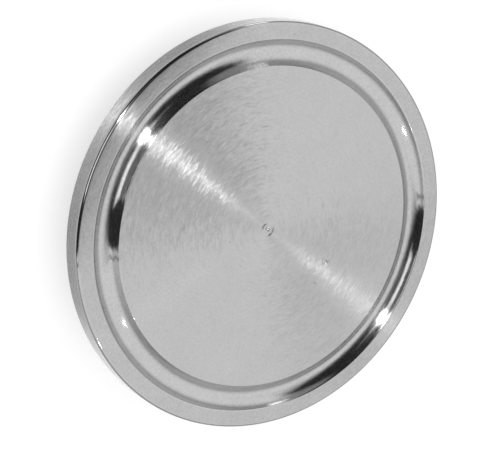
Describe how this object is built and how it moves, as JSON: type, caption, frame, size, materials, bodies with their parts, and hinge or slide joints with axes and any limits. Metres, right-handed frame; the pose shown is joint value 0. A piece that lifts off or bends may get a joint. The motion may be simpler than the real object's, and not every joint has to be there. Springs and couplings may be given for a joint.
{
  "type": "sanitary clamp end cap",
  "caption": "Round solid steel cap that closes a clamped sanitary pipe joint, with a gasket groove in its flat face and a bevelled back.",
  "frame": {"origin": "centre of the back flat, the face the cap lies on", "axes": "+Z along the cap's axis, out of the sealing face; X and Y are free, because the cap is round"},
  "size_m": [0.0506, 0.0506, 0.0063],
  "materials": {
    "stainless_steel": "turned and satin-brushed in rings, groove left brighter"
  },
  "bodies": {
    "root": {"end_cap": "stainless_steel"}
  },
  "joints": []
}
